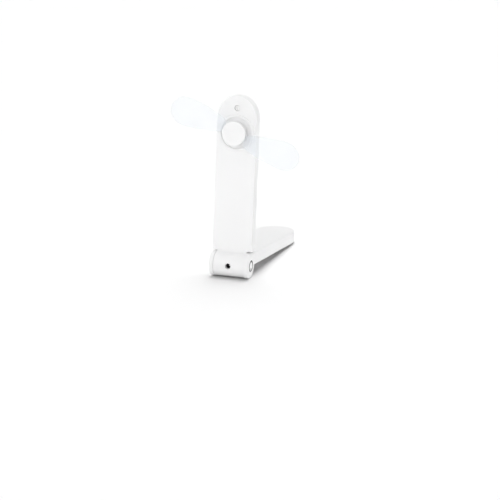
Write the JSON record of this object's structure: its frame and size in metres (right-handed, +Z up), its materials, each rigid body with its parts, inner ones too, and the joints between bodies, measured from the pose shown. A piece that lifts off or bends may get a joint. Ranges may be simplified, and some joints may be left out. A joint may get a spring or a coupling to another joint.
{
  "type": "handheld electric fan",
  "caption": "Slim folding hand fan: a motor arm with two soft folding blades, hinged to a hollow half that closes over them as a lid or swings right round to stand the arm on a table.",
  "frame": {"origin": "on the table under the middle of the open fan: centre of the box, at its bottom", "axes": "+X along the hinge, to the power button's side; +Y from the hinge to the foot's far tip; +Z up"},
  "size_m": [0.1114, 0.1516, 0.151],
  "materials": {
    "shell_white": "fine satin, moulded ABS",
    "symbol_black": "second-shot plastic, satin",
    "blade_soft": "soft translucent elastomer, smooth",
    "socket_dark": "matt, moulded",
    "bright_steel": "bright, nickel plated",
    "bearing_bronze": "satin",
    "magnet_black": "matt, sintered",
    "winding_core": "enamelled wire",
    "nylon_natural": "satin, natural nylon or acetal",
    "cell_foil": "satin laminated foil",
    "foam_tape": "matt foam",
    "board_green": "satin solder mask",
    "chip_black": "matt",
    "plunger_red": "gloss",
    "lead_red": "satin silicone insulation"
  },
  "bodies": {
    "arm": {"arm_front_cover": "shell_white", "arm_back_shell": "shell_white", "cover_screw": "bright_steel", "motor_can": "bright_steel", "motor_bearing": "bearing_bronze", "motor_magnets": "magnet_black", "motor_end_cap": "nylon_natural", "motor_terminals": "bearing_bronze", "battery_cell": "cell_foil", "battery_pad": "foam_tape", "control_board": "board_green", "board_screws": "bright_steel", "board_components": "chip_black", "socket_sleeve": "shell_white", "charging_socket": "socket_dark", "charging_pin": "bright_steel", "charging_contacts": "bearing_bronze", "switch_board": "board_green", "switch_body": "chip_black", "friction_washers": "nylon_natural", "motor_leads": "lead_red", "battery_leads": "lead_red", "socket_leads": "lead_red", "switch_leads": "lead_red"},
    "foot": {"base_shell": "shell_white", "axle_right": "nylon_natural", "axle_left": "nylon_natural", "retaining_clips": "bright_steel", "stop_collar": "nylon_natural", "hinge_cap": "shell_white"},
    "rotor": {"motor_shaft": "bright_steel", "motor_armature": "winding_core", "hub_base": "shell_white", "hub_cap": "shell_white", "blade_pins": "bright_steel"},
    "left_blade": {"blade_left": "blade_soft"},
    "right_blade": {"blade_right": "blade_soft"},
    "button": {"power_button": "shell_white", "power_symbol": "symbol_black"},
    "plunger": {"switch_plunger": "plunger_red"}
  },
  "joints": [
    {"name": "foot_fold", "type": "hinge", "parent": "arm", "child": "foot", "pos_m": [0, -0.06543, 0.0104], "axis": [-1, 0, 0], "range_deg": [0, 270], "deforming": ["blade_left", "blade_right"]},
    {"name": "rotor_spin", "type": "hinge", "parent": "arm", "child": "rotor", "pos_m": [0, -0.0623, 0.12047], "axis": [0, -0.9973, 0.0738], "continuous": true},
    {"name": "left_blade_fold", "type": "hinge", "parent": "rotor", "child": "left_blade", "pos_m": [-0.00573, -0.06274, 0.12259], "axis": [0, -0.9973, 0.0738], "range_deg": [0, 121]},
    {"name": "right_blade_fold", "type": "hinge", "parent": "rotor", "child": "right_blade", "pos_m": [0.00573, -0.06166, 0.11833], "axis": [0, -0.9973, 0.0738], "range_deg": [-81, 0]},
    {"name": "power_button_press", "type": "slide", "parent": "foot", "child": "button", "axis": [-1, 0, 0], "range_m": [0, 0.0005], "stiffness_N_per_m": 1500},
    {"name": "switch_plunger_press", "type": "slide", "parent": "arm", "child": "plunger", "axis": [-1, 0, 0], "range_m": [0, 0.0005]}
  ],
  "couplings": [
    {"joint": "left_blade_fold", "follows": "foot_fold", "ratio": 0.44815},
    {"joint": "right_blade_fold", "follows": "foot_fold", "ratio": -0.3},
    {"joint": "switch_plunger_press", "follows": "power_button_press", "ratio": 1}
  ]
}
